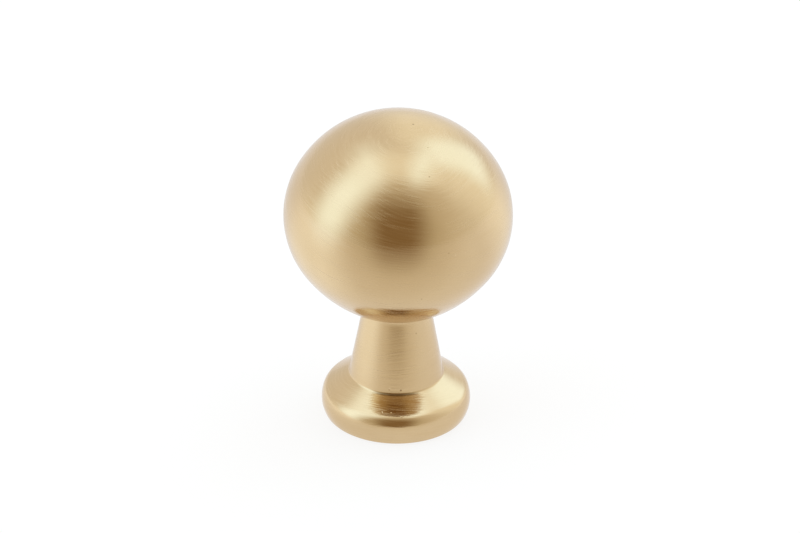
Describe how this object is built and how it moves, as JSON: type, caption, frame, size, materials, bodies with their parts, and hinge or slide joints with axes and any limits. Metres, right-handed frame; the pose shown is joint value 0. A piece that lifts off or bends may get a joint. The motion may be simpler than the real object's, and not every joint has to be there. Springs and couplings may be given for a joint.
{
  "type": "cabinet knob",
  "caption": "Ball-headed cabinet knob in satin brushed brass: round head, short tapered stem and rounded foot with a tapped hole in its flat back.",
  "frame": {"origin": "centre of the round mounting face, the flat back of the foot", "axes": "+Z along the knob's axis, out of the door and through the head; the knob is round, so +X and +Y are any two square directions across it"},
  "size_m": [0.03, 0.03, 0.0432],
  "materials": {
    "brass": "satin brushed"
  },
  "bodies": {
    "root": {"knob": "brass"}
  },
  "joints": []
}
